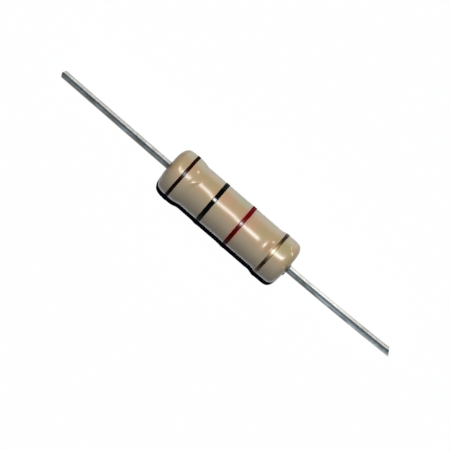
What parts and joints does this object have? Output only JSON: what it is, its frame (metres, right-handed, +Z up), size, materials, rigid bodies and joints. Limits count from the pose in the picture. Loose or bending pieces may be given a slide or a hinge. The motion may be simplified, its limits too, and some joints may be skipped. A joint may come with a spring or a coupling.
{
  "type": "axial resistor",
  "caption": "Axial-lead resistor: a tan lacquered body with bulged ends and painted colour bands on a straight pair of tinned wire leads.",
  "frame": {"origin": "middle of the lacquered body, on the axis of the leads", "axes": "+X along the leads towards the gold band, +Z up"},
  "size_m": [0.0427, 0.0052, 0.0052],
  "materials": {
    "rod_ceramic": "matte",
    "film_carbon": "satin",
    "cap_steel": "satin",
    "lead_wire": "satin",
    "coat_lacquer": "gloss",
    "brown_paint": "gloss",
    "black_paint": "gloss",
    "red_paint": "gloss",
    "gold_paint": "satin"
  },
  "bodies": {
    "root": {"ceramic_rod": "rod_ceramic", "carbon_film": "film_carbon", "left_cap": "cap_steel", "right_cap": "cap_steel", "left_lead": "lead_wire", "right_lead": "lead_wire", "coating": "coat_lacquer", "brown_band": "brown_paint", "black_band": "black_paint", "red_band": "red_paint", "gold_band": "gold_paint"}
  },
  "joints": []
}
